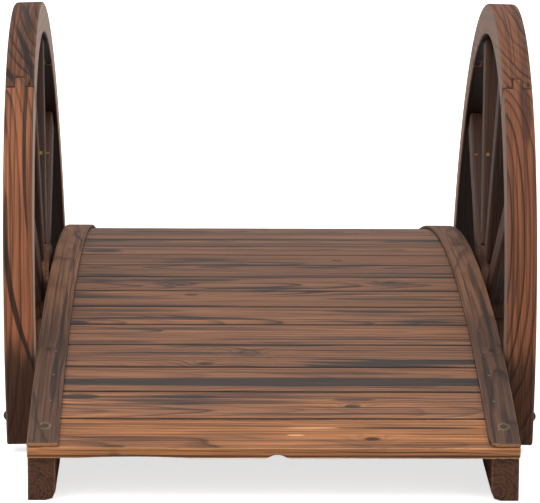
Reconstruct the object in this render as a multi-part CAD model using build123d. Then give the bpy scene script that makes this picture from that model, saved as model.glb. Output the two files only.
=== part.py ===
from build123d import *
import math
import os

# Garden footbridge: an arched deck of fir planks on two arched stringers, with a half wagon
# wheel bolted to each side as a railing.
# Units are millimetres. +Z is up, +Y runs along the walkway towards the back, +X is the right.
# The origin is on the ground, midway along and across the bridge.

# ---- Driving dimensions: deck ----
DECK_LENGTH = 1367.0          # straight distance between the top edges of the two ends
DECK_RISE = 83.0              # crown of the walkway above those end edges
DECK_END_HEIGHT = 60.0        # end edges above the ground
DECK_WIDTH = 529.0            # length of each plank
PLANK_THICKNESS = 13.0
PLANK_WIDTH = 71.9
PLANK_GAP = 0.8               # at the walking surface
PLANK_EDGE_ROUND = 0.8
NARROWEST_PLANK = 20.0        # a narrower remainder is shared with the plank before it

# ---- Driving dimensions: stringers ----
STRINGER_THICKNESS = 30.0
STRINGER_SETBACK = 8.6        # end of the stringer behind the end edge of the deck
STRINGER_INSET = 0.6          # outer face of the stringer inside the plank ends
FOOT_LENGTH = 120.0           # flat part that stands on the ground
ARCH_HEIGHT = 50.0            # clear height under the stringer at mid-span
FOOT_CHAMFER = 4.0            # on the inner lower long edge at the feet

# ---- Driving dimensions: edge strips ----
STRIP_WIDTH = 34.0
STRIP_THICKNESS = 4.8
STRIP_SETBACK = 1.5           # end of the strip behind the end edge of the deck
STRIP_CLEARANCE = 0.02        # above the highest plank corner

# ---- Driving dimensions: half wheels ----
RIM_OUTER_RADIUS = 454.0
RIM_RADIAL_WIDTH = 38.5
RIM_THICKNESS = 34.5
RIM_BASE_HEIGHT = 10.8        # flat ends of the rim above the ground
WHEEL_LEAN = 1.71             # degrees that each half wheel leans outward
WHEEL_GAP = 0.1               # between the stringer and the lower inner edge of the wheel
SHOULDER_ANGLE = 57.4         # joint shoulder, from the horizontal, seen from the wheel centre
TONGUE_LENGTH = 18.0
JOINT_GAP = 0.15

HUB_RADIUS = 94.0
HUB_CENTRE_HEIGHT = 57.0      # above the flat base of the half wheel
HUB_SEAM_HEIGHT = 76.0        # joint between the two hub pieces, above the same base
HUB_THICKNESS = 34.5
HUB_SEAM_GAP = 0.1

SPOKE_WIDTH = 36.0
SPOKE_THICKNESS = 23.0
LOW_SPOKE_ANGLE = 33.2        # degrees above the horizontal, from the hub centre
HIGH_SPOKE_ANGLE = 69.7
SPOKE_GAP = 0.1               # at the shoulders
SPOKE_EDGE_ROUND = 2.5
TENON_DIAMETER = 11.0
TENON_LENGTH = 16.0
TENON_CLEARANCE = 0.1         # on the radius and at the end of the bore

# ---- Driving dimensions: fasteners ----
BOLT_DIAMETER = 6.0
BOLT_HEAD_DIAMETER = 12.0
BOLT_HEAD_HEIGHT = 4.0
BOLT_HEIGHT_ON_RIM = 30.0     # above the flat end of the rim
BOLT_PROUD = 4.0              # thread beyond the nut
BOLT_CLEARANCE = 0.2          # on the radius of each bolt hole
NUT_ACROSS_FLATS = 10.0
NUT_HEIGHT = 5.0
WASHER_DIAMETER = 14.0
WASHER_THICKNESS = 1.2

NAIL_DIAMETER = 2.2
NAIL_HEAD_DIAMETER = 4.6
NAIL_HEAD_HEIGHT = 1.0
NAIL_LENGTH = 34.0
SCREW_DIAMETER = 3.6
SCREW_HEAD_DIAMETER = 8.0
SCREW_HEAD_HEIGHT = 2.0
SCREW_LENGTH = 38.0
SCREW_OFFSET = 1.5            # outward from the middle of the strip
SCREW_END_DISTANCE = 42.0     # from the end edge of the deck, along the strip
BRAD_DIAMETER = 1.6
BRAD_HEAD_DIAMETER = 3.0
BRAD_HEAD_HEIGHT = 0.6
BRAD_LENGTH = 28.0
SPOKE_BRAD_HEAD = 4.6
SPOKE_BRAD_LENGTH = 12.0
LOW_SPOKE_BRAD_REACH = 293.0  # of the heads from the hub centre, along the spoke
HIGH_SPOKE_BRAD_REACH = 209.0
SPOKE_BRAD_OFFSET = 6.5       # of the heads from the middle of the spoke, inward
BRAD_OFFSET = 6.0             # brad line beside the nail line, across the strip

CUT_OVERRUN = 1.0             # how far a cutting tool runs past the face that it opens
JOINT_OVERLAP_ANGLE = 1.0     # a tongue's root and a slot's mouth run this far past the shoulder

# ---- Derived sizes ----
HALF_LENGTH = DECK_LENGTH / 2
HALF_WIDTH = DECK_WIDTH / 2
DECK_RADIUS = (HALF_LENGTH ** 2 + DECK_RISE ** 2) / (2 * DECK_RISE)
DECK_CENTRE_Z = DECK_END_HEIGHT + DECK_RISE - DECK_RADIUS
END_ANGLE = math.degrees(math.asin(HALF_LENGTH / DECK_RADIUS))
PLANK_PITCH = PLANK_WIDTH + PLANK_GAP
STRINGER_TOP_RADIUS = DECK_RADIUS - PLANK_THICKNESS
STRINGER_OUTER_X = HALF_WIDTH - STRINGER_INSET
STRINGER_INNER_X = STRINGER_OUTER_X - STRINGER_THICKNESS
STRINGER_HALF_LENGTH = HALF_LENGTH - STRINGER_SETBACK
STRIP_MID_X = HALF_WIDTH - STRIP_WIDTH / 2
PLANK_CORNER_RADIUS = math.hypot(DECK_RADIUS, PLANK_WIDTH / 2)
STRIP_BOTTOM_RADIUS = PLANK_CORNER_RADIUS + STRIP_CLEARANCE
STRIP_TOP_RADIUS = STRIP_BOTTOM_RADIUS + STRIP_THICKNESS
RIM_INNER_RADIUS = RIM_OUTER_RADIUS - RIM_RADIAL_WIDTH
RIM_MID_RADIUS = RIM_OUTER_RADIUS - RIM_RADIAL_WIDTH / 2
TONGUE_ANGLE = math.degrees(TONGUE_LENGTH / RIM_OUTER_RADIUS)
GAP_ANGLE = math.degrees(JOINT_GAP / RIM_OUTER_RADIUS)
WHEEL_FOOT_X = STRINGER_OUTER_X + WHEEL_GAP
SPOKE_INSET = (RIM_THICKNESS - SPOKE_THICKNESS) / 2
HUB_INSET = (RIM_THICKNESS - HUB_THICKNESS) / 2
NAIL_X = (STRINGER_INNER_X + STRINGER_OUTER_X) / 2
BRAD_X = NAIL_X - BRAD_OFFSET
SIDES = ("left", "right")
ORIGIN = (0.0, 0.0)


# ---- General helpers ----
def sector(inner_radius, outer_radius, start, end):
    """Flat ring sector between two angles in degrees, drawn on the side plane."""
    outer = CenterArc(ORIGIN, outer_radius, start, end - start)
    inner = CenterArc(ORIGIN, inner_radius, start, end - start)
    edges = [outer, inner, Line(outer @ 0, inner @ 0), Line(outer @ 1, inner @ 1)]
    return make_face(edges)


def slab(face, start_x, thickness):
    """Extrude a face drawn on the side plane from start_x outward along +X."""
    return Pos(start_x, 0, 0) * extrude(Plane.YZ * face, thickness, dir=(1, 0, 0))


def rod(start, direction, radius, length):
    """Cylinder whose end face is centred on start and which runs along direction."""
    plane = Plane(origin=start, z_dir=direction)
    return plane * Cylinder(radius, length, align=(Align.CENTER, Align.CENTER, Align.MIN))


def deck_point(angle, radius):
    """Y and Z of a point at an angle from the crown of the deck, in degrees."""
    turn = math.radians(angle)
    return radius * math.sin(turn), DECK_CENTRE_Z + radius * math.cos(turn)


def on_side(piece, side):
    """The piece as modelled on the right, or its mirror image for the left."""
    return piece if side == "right" else mirror(piece, about=Plane.YZ)


def stand_wheel(piece):
    """Move a wheel piece from its upright drawing place to its leaning place on the right."""
    lean = Rot(0, WHEEL_LEAN, 0)
    return Pos(WHEEL_FOOT_X, 0, RIM_BASE_HEIGHT) * lean * piece


def write(name, shape):
    """Write one node as a STEP file."""
    export_step(shape, os.path.join("parts", name + ".step"))


# ---- Deck ----
def plank_layout():
    """Angle and width of each plank from the front, with a ripped plank at the back."""
    total = math.radians(2 * END_ANGLE) * DECK_RADIUS
    full = int((total + PLANK_GAP) // PLANK_PITCH)
    widths = [PLANK_WIDTH] * full
    remainder = total - full * PLANK_PITCH
    if remainder > NARROWEST_PLANK:
        widths.append(remainder)
    else:
        widths[-1] += remainder + PLANK_GAP
    layout = []
    start = 0.0
    for width in widths:
        middle = start + width / 2
        layout.append((math.degrees(middle / DECK_RADIUS) - END_ANGLE, width))
        start += width + PLANK_GAP
    return layout


def deck_frame(angle, radius):
    """Plane on the arc with its normal pointing away from the arc's centre."""
    y, z = deck_point(angle, radius)
    turn = math.radians(angle)
    return Plane(origin=(0, y, z), x_dir=(1, 0, 0), z_dir=(0, math.sin(turn), math.cos(turn)))


def driven(angle, x, radius, shank, head, head_height, length):
    """A nail or screw driven square to the arc, with its head top at the given radius."""
    frame = deck_frame(angle, radius)
    down = (Align.CENTER, Align.CENTER, Align.MAX)
    body = Cylinder(shank / 2, length, align=down) + Cylinder(head / 2, head_height, align=down)
    return frame * (Pos(x, 0, 0) * body)


def deck_nail(angle, x):
    """Nail through a plank into the stringer, flush under the edge strip."""
    return driven(angle, x, DECK_RADIUS, NAIL_DIAMETER, NAIL_HEAD_DIAMETER, NAIL_HEAD_HEIGHT, NAIL_LENGTH)


def strip_brad(angle, x):
    """Brad through the strip and the plank into the stringer."""
    top = STRIP_TOP_RADIUS
    return driven(angle, x, top, BRAD_DIAMETER, BRAD_HEAD_DIAMETER, BRAD_HEAD_HEIGHT, BRAD_LENGTH)


def strip_screw(angle, x):
    """Screw at the end of a strip, with its head sunk flush."""
    top = STRIP_TOP_RADIUS
    return driven(angle, x, top, SCREW_DIAMETER, SCREW_HEAD_DIAMETER, SCREW_HEAD_HEIGHT, SCREW_LENGTH)


def plank_blank(angle, width):
    """One flat plank, square to the arc at its own middle, with eased long edges."""
    board = Box(DECK_WIDTH, width, PLANK_THICKNESS, align=(Align.CENTER, Align.CENTER, Align.MAX))
    long_edges = board.edges().filter_by(Axis.X).group_by(Axis.Z)[-1]
    board = fillet(long_edges, PLANK_EDGE_ROUND)
    return deck_frame(angle, DECK_RADIUS) * board


def stringer_blank():
    """Right stringer: arched board with two flat feet."""
    foot_inner = STRINGER_HALF_LENGTH - FOOT_LENGTH
    end_y = STRINGER_HALF_LENGTH
    end_angle = math.degrees(math.asin(end_y / STRINGER_TOP_RADIUS))
    end_z = deck_point(end_angle, STRINGER_TOP_RADIUS)[1]
    crown_z = deck_point(0, STRINGER_TOP_RADIUS)[1]
    outline = [
        Line((-end_y, 0), (-foot_inner, 0)),
        ThreePointArc((-foot_inner, 0), (0, ARCH_HEIGHT), (foot_inner, 0)),
        Line((foot_inner, 0), (end_y, 0)),
        Line((end_y, 0), (end_y, end_z)),
        ThreePointArc((end_y, end_z), (0, crown_z), (-end_y, end_z)),
        Line((-end_y, end_z), (-end_y, 0)),
    ]
    board = slab(make_face(outline), STRINGER_INNER_X, STRINGER_THICKNESS)
    soles = board.edges().filter_by(Axis.Y).group_by(Axis.Z)[0]
    inner_edges = soles.group_by(Axis.X)[0]
    return chamfer(inner_edges, FOOT_CHAMFER)


def strip_blank():
    """Right edge strip: a thin board bent along the deck over the plank ends."""
    half_angle = END_ANGLE - math.degrees(STRIP_SETBACK / DECK_RADIUS)
    face = sector(STRIP_BOTTOM_RADIUS, STRIP_TOP_RADIUS, 90 - half_angle, 90 + half_angle)
    bent = slab(face, HALF_WIDTH - STRIP_WIDTH, STRIP_WIDTH)
    return Pos(0, 0, DECK_CENTRE_Z) * bent


# ---- Half wheel, drawn upright with its inner face on X = 0 and its flat base on Z = 0 ----
def felloe_end():
    """Lower felloe at the back, with a tongue in the middle third of its upper end."""
    third = RIM_THICKNESS / 3
    body = slab(sector(RIM_INNER_RADIUS, RIM_OUTER_RADIUS, 0, SHOULDER_ANGLE), 0, RIM_THICKNESS)
    tongue_end = SHOULDER_ANGLE + TONGUE_ANGLE
    root = SHOULDER_ANGLE - JOINT_OVERLAP_ANGLE
    tongue = slab(sector(RIM_INNER_RADIUS, RIM_OUTER_RADIUS, root, tongue_end), third, third)
    return body + tongue


def felloe_top():
    """Upper felloe, slotted at both ends for the tongues."""
    start = SHOULDER_ANGLE + GAP_ANGLE
    body = slab(sector(RIM_INNER_RADIUS, RIM_OUTER_RADIUS, start, 180 - start), 0, RIM_THICKNESS)
    slot_width = RIM_THICKNESS / 3 + 2 * JOINT_GAP
    slot_start = RIM_THICKNESS / 3 - JOINT_GAP
    mouth = SHOULDER_ANGLE - JOINT_OVERLAP_ANGLE
    slot_end = SHOULDER_ANGLE + TONGUE_ANGLE + GAP_ANGLE
    inside = RIM_INNER_RADIUS - CUT_OVERRUN
    outside = RIM_OUTER_RADIUS + CUT_OVERRUN
    for begin, end in ((mouth, slot_end), (180 - slot_end, 180 - mouth)):
        body -= slab(sector(inside, outside, begin, end), slot_start, slot_width)
    return body


def hub_disc(radius):
    """Round hub outline on its own centre, on the side plane."""
    return Pos(0, HUB_CENTRE_HEIGHT, 0) * Circle(radius)


def hub_piece(bottom, top):
    """Part of the hub between two heights above the base of the wheel."""
    band = Pos(0, (bottom + top) / 2, 0) * Rectangle(2 * HUB_RADIUS, top - bottom)
    return slab(hub_disc(HUB_RADIUS) & band, HUB_INSET, HUB_THICKNESS)


def spoke_direction(angle):
    """Unit vector of a spoke in the wheel, from its angle above the back horizontal."""
    turn = math.radians(angle)
    return Vector(0, math.cos(turn), math.sin(turn))


def rim_reach(angle):
    """Distance from the hub centre to the inside of the rim along a spoke."""
    rise = HUB_CENTRE_HEIGHT * math.sin(math.radians(angle))
    return -rise + math.sqrt(rise ** 2 + RIM_INNER_RADIUS ** 2 - HUB_CENTRE_HEIGHT ** 2)


def spoke_tenons(angle, clearance):
    """The two round tenons of a spoke, or their bores when a clearance is given."""
    axis = spoke_direction(angle)
    centre = Vector(RIM_THICKNESS / 2, 0, HUB_CENTRE_HEIGHT)
    overlap = SPOKE_WIDTH / 2
    hub_start = centre + axis * (HUB_RADIUS - TENON_LENGTH - clearance)
    rim_start = centre + axis * (rim_reach(angle) - overlap)
    radius = TENON_DIAMETER / 2 + clearance
    length = TENON_LENGTH + clearance + overlap
    return [rod(hub_start, axis, radius, length), rod(rim_start, axis, radius, length)]


def spoke(angle):
    """One spoke: a flat board coped to the hub and the rim, with a tenon at each end."""
    length = RIM_INNER_RADIUS
    board = Pos(length / 2, 0, 0) * Rectangle(length, SPOKE_WIDTH)
    board = Pos(0, HUB_CENTRE_HEIGHT, 0) * Rot(0, 0, angle) * board
    face = board & Circle(RIM_INNER_RADIUS - SPOKE_GAP)
    face -= hub_disc(HUB_RADIUS + SPOKE_GAP)
    body = slab(face, SPOKE_INSET, SPOKE_THICKNESS)
    long_edges = body.edges().filter_by(Axis((0, 0, 0), spoke_direction(angle)))
    body = fillet(long_edges, SPOKE_EDGE_ROUND)
    for tenon in spoke_tenons(angle, 0.0):
        body += tenon
    return body


def spoke_brad(angle, reach):
    """Brad in the upper narrow face of a spoke, at a distance from the hub centre."""
    axis = spoke_direction(angle)
    across = Vector(0, -axis.Z, axis.Y) if angle < 90 else Vector(0, axis.Z, -axis.Y)
    across = across if across.Y * axis.Y < 0 else across * -1
    middle = Vector(RIM_THICKNESS / 2 - SPOKE_BRAD_OFFSET, 0, HUB_CENTRE_HEIGHT) + axis * reach
    surface = middle + across * (SPOKE_WIDTH / 2)
    head_top = surface + across * (BRAD_HEAD_HEIGHT / 2)
    inward = across * -1
    head = rod(head_top, inward, SPOKE_BRAD_HEAD / 2, BRAD_HEAD_HEIGHT)
    return head + rod(head_top, inward, BRAD_DIAMETER / 2, SPOKE_BRAD_LENGTH)


# ---- Bolts that hold the wheels to the stringers ----
def bolt_places():
    """Y and height above the wheel's base of each bolt: both rim ends and the hub."""
    spread = math.sqrt(RIM_MID_RADIUS ** 2 - BOLT_HEIGHT_ON_RIM ** 2)
    return [(-spread, BOLT_HEIGHT_ON_RIM), (0.0, HUB_CENTRE_HEIGHT), (spread, BOLT_HEIGHT_ON_RIM)]


def bolt_line(height):
    """World Z of a bolt, and X of the wheel's outer face there."""
    lean = math.radians(WHEEL_LEAN)
    z = RIM_BASE_HEIGHT + height * math.cos(lean) - RIM_THICKNESS * math.sin(lean)
    x = WHEEL_FOOT_X + height * math.sin(lean) + RIM_THICKNESS * math.cos(lean)
    return x, z


def domed_bolt(y, height):
    """Carriage bolt with its domed head on the wheel's outer face."""
    face_x, z = bolt_line(height)
    bite = BOLT_HEAD_DIAMETER / 2 * math.sin(math.radians(WHEEL_LEAN))
    seat_x = face_x - bite
    end_x = STRINGER_INNER_X - WASHER_THICKNESS - NUT_HEIGHT - BOLT_PROUD
    head = BOLT_HEAD_DIAMETER / 2
    shank = BOLT_DIAMETER / 2
    slant = math.sqrt(0.5)
    dome_radius = (head ** 2 + BOLT_HEAD_HEIGHT ** 2) / (2 * BOLT_HEAD_HEIGHT)
    dome_centre = seat_x + BOLT_HEAD_HEIGHT - dome_radius
    dome_middle = (dome_centre + dome_radius * slant, dome_radius * slant)
    profile = [
        Polyline((end_x, 0), (end_x, shank), (seat_x, shank), (seat_x, head)),
        ThreePointArc((seat_x, head), dome_middle, (seat_x + BOLT_HEAD_HEIGHT, 0)),
        Line((seat_x + BOLT_HEAD_HEIGHT, 0), (end_x, 0)),
    ]
    return Pos(0, y, z) * revolve(make_face(profile), Axis.X)


def bolt_hole(y, height):
    """Clearance hole for a bolt through the wheel and the stringer."""
    z = bolt_line(height)[1]
    reach = STRINGER_THICKNESS + RIM_THICKNESS + HUB_RADIUS
    start = (STRINGER_INNER_X - CUT_OVERRUN, y, z)
    return rod(start, (1, 0, 0), BOLT_DIAMETER / 2 + BOLT_CLEARANCE, reach)


def washer(y, height):
    """Flat washer on the inner face of the stringer."""
    z = bolt_line(height)[1]
    start = (STRINGER_INNER_X - WASHER_THICKNESS, y, z)
    disc = rod(start, (1, 0, 0), WASHER_DIAMETER / 2, WASHER_THICKNESS)
    return disc - rod(start, (1, 0, 0), BOLT_DIAMETER / 2, WASHER_THICKNESS)


def nut(y, height):
    """Hexagon nut against the washer."""
    z = bolt_line(height)[1]
    start = (STRINGER_INNER_X - WASHER_THICKNESS - NUT_HEIGHT, y, z)
    frame = Plane(origin=start, z_dir=(1, 0, 0))
    hexagon = RegularPolygon(NUT_ACROSS_FLATS / 2, 6, major_radius=False)
    block = extrude(frame * hexagon, NUT_HEIGHT, dir=(1, 0, 0))
    return block - rod(start, (1, 0, 0), BOLT_DIAMETER / 2, NUT_HEIGHT)


# ---- Assembly ----
def build_deck():
    """Planks, stringers, strips and everything driven into them."""
    layout = plank_layout()
    screw_angle = END_ANGLE - math.degrees(SCREW_END_DISTANCE / DECK_RADIUS)
    nails = [deck_nail(angle, NAIL_X) for angle, _ in layout]
    brads = [strip_brad(angle, BRAD_X) for angle, _ in layout]
    screws = [strip_screw(sign * screw_angle, STRIP_MID_X + SCREW_OFFSET) for sign in (-1, 1)]
    strip = strip_blank()
    stringer = stringer_blank()
    for tool in nails + brads + screws:
        stringer -= tool
    for tool in brads + screws:
        strip -= tool
    for y, height in bolt_places():
        stringer -= bolt_hole(y, height)
    for index, (angle, width) in enumerate(layout):
        plank = plank_blank(angle, width)
        for tool in [nails[index], brads[index]] + screws:
            plank -= tool
            plank -= mirror(tool, about=Plane.YZ)
        write(f"deck_plank_{index + 1:02d}", plank)
    for side in SIDES:
        write(f"stringer_{side}", on_side(stringer, side))
        write(f"edge_strip_{side}", on_side(strip, side))
    for name, group in (("deck_nails", nails), ("strip_brads", brads), ("strip_screws", screws)):
        pairs = [on_side(piece, side) for side in SIDES for piece in group]
        write(name, Compound(children=pairs))


def build_wheels():
    """Both half wheels with their bolts, washers and nuts."""
    angles = {
        "back_low": LOW_SPOKE_ANGLE,
        "back_high": HIGH_SPOKE_ANGLE,
        "front_high": 180 - HIGH_SPOKE_ANGLE,
        "front_low": 180 - LOW_SPOKE_ANGLE,
    }
    bolts = [domed_bolt(y, height) for y, height in bolt_places()]
    holes = [bolt_hole(y, height) for y, height in bolt_places()]
    back_felloe = felloe_end()
    hub_top = HUB_CENTRE_HEIGHT + HUB_RADIUS
    pieces = {
        "rim_felloe_back": back_felloe,
        "rim_felloe_front": mirror(back_felloe, about=Plane.XZ),
        "rim_felloe_top": felloe_top(),
        "hub_lower": hub_piece(0.0, HUB_SEAM_HEIGHT - HUB_SEAM_GAP),
        "hub_upper": hub_piece(HUB_SEAM_HEIGHT, hub_top),
    }
    for name, piece in pieces.items():
        for angle in angles.values():
            for bore in spoke_tenons(angle, TENON_CLEARANCE):
                piece -= bore
        piece = stand_wheel(piece)
        for tool in bolts + holes:
            piece -= tool
        for side in SIDES:
            write(f"{name}_{side}", on_side(piece, side))
    brads = []
    for name, angle in angles.items():
        reach = HIGH_SPOKE_BRAD_REACH if "high" in name else LOW_SPOKE_BRAD_REACH
        brad = spoke_brad(angle, reach)
        body = stand_wheel(spoke(angle) - brad)
        brads.append(stand_wheel(brad))
        for side in SIDES:
            write(f"spoke_{name}_{side}", on_side(body, side))
    washers = [washer(y, height) for y, height in bolt_places()]
    nuts = [nut(y, height) for y, height in bolt_places()]
    groups = {
        "spoke_brads": brads,
        "wheel_bolts": bolts,
        "wheel_washers": washers,
        "wheel_nuts": nuts,
    }
    for name, group in groups.items():
        pairs = [on_side(piece, side) for side in SIDES for piece in group]
        write(name, Compound(children=pairs))


os.makedirs("parts", exist_ok=True)
build_deck()
build_wheels()
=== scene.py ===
"""Torched fir garden footbridge with half wagon wheels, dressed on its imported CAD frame."""

import logging
import math
from dataclasses import dataclass, field, replace
from enum import Enum
from typing import Callable, Iterable, Optional

import bmesh
import bpy
import numpy as np
from mathutils import Matrix, Vector, noise


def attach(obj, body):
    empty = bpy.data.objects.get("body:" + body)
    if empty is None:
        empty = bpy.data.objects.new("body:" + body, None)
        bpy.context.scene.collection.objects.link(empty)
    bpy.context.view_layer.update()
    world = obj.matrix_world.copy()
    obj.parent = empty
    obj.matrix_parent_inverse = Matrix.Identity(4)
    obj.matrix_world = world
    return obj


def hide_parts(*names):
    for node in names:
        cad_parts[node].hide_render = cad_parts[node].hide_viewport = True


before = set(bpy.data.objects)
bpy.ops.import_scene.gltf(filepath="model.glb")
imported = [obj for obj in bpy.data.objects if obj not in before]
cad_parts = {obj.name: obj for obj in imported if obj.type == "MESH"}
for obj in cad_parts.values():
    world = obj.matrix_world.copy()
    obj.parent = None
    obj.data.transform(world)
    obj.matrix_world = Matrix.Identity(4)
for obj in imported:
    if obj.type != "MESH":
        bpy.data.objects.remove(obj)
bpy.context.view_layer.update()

logging.basicConfig(level=logging.INFO, format="%(message)s")
LOG = logging.getLogger("footbridge")

MM = 0.001
BODY = "root"
SHARP_DEGREES = 40.0               # edges sharper than this are rounded
EDGE_GAIN = 3.4                    # turns how far a normal leans from its face into wear at the edge
WEAR_ALONG = 0.45                  # pace of the wear noise along the board, so hollows are longer that way
FINE_WEAR = 2.7                    # small dents against broad hollows
WEAR_SEED_STEP = (3.1, 5.7, 1.3)   # shift of the wear noise from board to board
SEED_SHIFT = (137.0, 29.0, 53.0)   # shift of the colour noise from board to board, in mm
LAYER_SHIFT = (311.0, 17.0, 0.0)   # shift of the colour noise from layer to layer, in mm
KNOT_LENGTH = 2.2                  # a knot's length on the face against its width
KNOT_LIFT = 2.2                    # how far the rings swell around a knot, against its radius
# Limits of the masks on wood: where each begins and where it is complete.
HONEY_LIMITS = (0.66, 0.9)
TONGUE_LIMITS = (0.53, 0.66)
HAIR_LIMITS = (0.52, 0.62)
BURNT_LIMITS = (1.04, 1.14)
MARK_LIMITS = (1.08, 0.72)
KNOT_LIMITS = (1.15, 0.45)
FLANK_LIMITS = (0.7, 0.95)
END_LIMITS = (0.5, 0.95)
INWARD_LIMITS = (-0.6, -0.93)
BORDER_LIMITS = (0.12, 0.7)
# Strengths of the same masks where they are complete.
HONEY_STRENGTH = 0.8
TONGUE_STRENGTH = 0.75
HAIR_STRENGTH = 0.72
BURNT_STRENGTH = 0.88
END_STRENGTH = 0.55
GLOW_GAIN = 0.4                    # how far a board's glow widens its honey patches
CHAR_GAIN = 0.42                   # how far a board's char widens its burnt patches
TONGUES_IN_BURNT = 0.5             # share of the tongues in the burnt patches
LATE_IN_BURNT = 0.16               # share of the late growth in the burnt patches
MARK_RAGGED = 0.9                  # how far the tongues fray the edge of a streak
MARK_CENTRE = 0.45                 # mean of what the fraying adds
FIBRE_TONE = (1.1, 0.45)           # brightness gained by each fibre, and the least brightness
SOOT_GLOSS = (-0.16, 0.08)         # roughness lost in soot, which is oily, and gained elsewhere
FIBRE_RELIEF = 0.6                 # height of the fibres against the late growth
YEARS_PER_SEED = 7.0               # shift of the years from board to board
NOISE_ROUGHNESS = 0.5
Points = np.ndarray
Place = Callable[[Points], Points]
Tree = bpy.types.NodeTree
Socket = bpy.types.NodeSocket
Size = tuple[float, float, float]
Spacing = tuple[float, float]


class Side(Enum):
    """The two sides of the bridge, with the sign of X on each."""

    LEFT = -1
    RIGHT = 1

    @property
    def label(self) -> str:
        """Word used for this side in node names."""
        return self.name.lower()


class Kind(Enum):
    """Kinds of node in use: type name, fixed settings, inputs in the order given, and output."""

    VECTOR_ATTRIBUTE = ("ShaderNodeAttribute", {}, (), "Vector")
    NUMBER_ATTRIBUTE = ("ShaderNodeAttribute", {}, (), "Fac")
    OBJECT_PLACE = ("ShaderNodeTexCoord", {}, (), "Object")
    SKY_DIRECTION = ("ShaderNodeTexCoord", {}, (), "Generated")
    CAMERA_RAY = ("ShaderNodeLightPath", {}, (), "Is Camera Ray")
    SPLIT = ("ShaderNodeSeparateXYZ", {}, (0,), 0)
    JOIN = ("ShaderNodeCombineXYZ", {}, (0, 1, 2), 0)
    ADD = ("ShaderNodeMath", {"operation": "ADD"}, (0, 1), 0)
    SUBTRACT = ("ShaderNodeMath", {"operation": "SUBTRACT"}, (0, 1), 0)
    MULTIPLY = ("ShaderNodeMath", {"operation": "MULTIPLY"}, (0, 1), 0)
    DIVIDE = ("ShaderNodeMath", {"operation": "DIVIDE"}, (0, 1), 0)
    MULTIPLY_ADD = ("ShaderNodeMath", {"operation": "MULTIPLY_ADD"}, (0, 1, 2), 0)
    MAXIMUM = ("ShaderNodeMath", {"operation": "MAXIMUM"}, (0, 1), 0)
    FLOOR = ("ShaderNodeMath", {"operation": "FLOOR"}, (0,), 0)
    FRACTION = ("ShaderNodeMath", {"operation": "FRACT"}, (0,), 0)
    ADD_VECTORS = ("ShaderNodeVectorMath", {"operation": "ADD"}, (0, 1), 0)
    SUBTRACT_VECTORS = ("ShaderNodeVectorMath", {"operation": "SUBTRACT"}, (0, 1), 0)
    SCALE_EACH = ("ShaderNodeVectorMath", {"operation": "MULTIPLY"}, (0, 1), 0)
    ABSOLUTE = ("ShaderNodeVectorMath", {"operation": "ABSOLUTE"}, (0,), 0)
    LENGTH = ("ShaderNodeVectorMath", {"operation": "LENGTH"}, (0,), "Value")
    SMOOTH_STEP = ("ShaderNodeMapRange", {"interpolation_type": "SMOOTHSTEP"}, (0, 1, 2, 3, 4), 0)
    RANGE = ("ShaderNodeMapRange", {}, (0, 1, 2, 3, 4), 0)
    BLEND = ("ShaderNodeMix", {"data_type": "RGBA"}, (0, 6, 7), 2)
    NOISE = ("ShaderNodeTexNoise", {"noise_dimensions": "3D"}, ("Vector", "Scale", "Detail", "Roughness"), 0)
    YEAR_NOISE = ("ShaderNodeTexWhiteNoise", {"noise_dimensions": "1D"}, ("W",), 0)
    RAMP = ("ShaderNodeValToRGB", {}, ("Fac",), 0)
    BUMP = ("ShaderNodeBump", {}, ("Height", "Strength", "Distance"), 0)
    TONE = ("ShaderNodeHueSaturation", {}, ("Color", "Value"), 0)
    SHADER = ("ShaderNodeBsdfPrincipled", {}, (), 0)
    SURFACE = ("ShaderNodeOutputMaterial", {}, ("Surface",), None)
    BACKDROP = ("ShaderNodeBackground", {}, ("Color", "Strength"), 0)
    CHOOSE = ("ShaderNodeMixShader", {}, (0, 1, 2), 0)
    WORLD = ("ShaderNodeOutputWorld", {}, ("Surface",), None)


class Pattern(Enum):
    """Noise in the wood: blob size along, across and through the board in mm, detail, layer number."""

    # Brushed fibres are about 0.1 mm wide; they are drawn 1.6 mm wide, the least that shows.
    FIBRE = ((75.0, 1.6, 1.6), 2.0, 1)
    # Tongues of soot that the flame left along the grain.
    TONGUE = ((330.0, 8.0, 8.0), 2.5, 2)
    # Broad places where the torch stayed longer.
    CLOUD = ((240.0, 26.0, 26.0), 2.0, 3)
    # Places where the flame passed fast and the stain shows as honey.
    WARMTH = ((260.0, 20.0, 20.0), 2.0, 4)
    # How the growth rings wander along the log.
    WANDER = ((260.0, 55.0, 55.0), 2.0, 5)
    # Fine dark lines where soot stayed in the brushed grooves, about 0.5 mm wide but drawn 2.4 mm.
    HAIR = ((420.0, 2.4, 2.4), 3.0, 6)


# ---------------------------------------------------------------- colour and nodes
def linear(hex_colour: str) -> tuple[float, float, float, float]:
    """Turn an sRGB hex colour into linear RGBA.

    Args:
        hex_colour: six hex digits, with or without a leading hash.

    Returns:
        Red, green, blue and an alpha of 1.
    """
    digits = hex_colour.lstrip("#")
    values = [int(digits[i:i + 2], 16) / 255 for i in (0, 2, 4)]
    curve = [v / 12.92 if v <= 0.04045 else ((v + 0.055) / 1.055) ** 2.4 for v in values]
    return (curve[0], curve[1], curve[2], 1.0)


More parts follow.
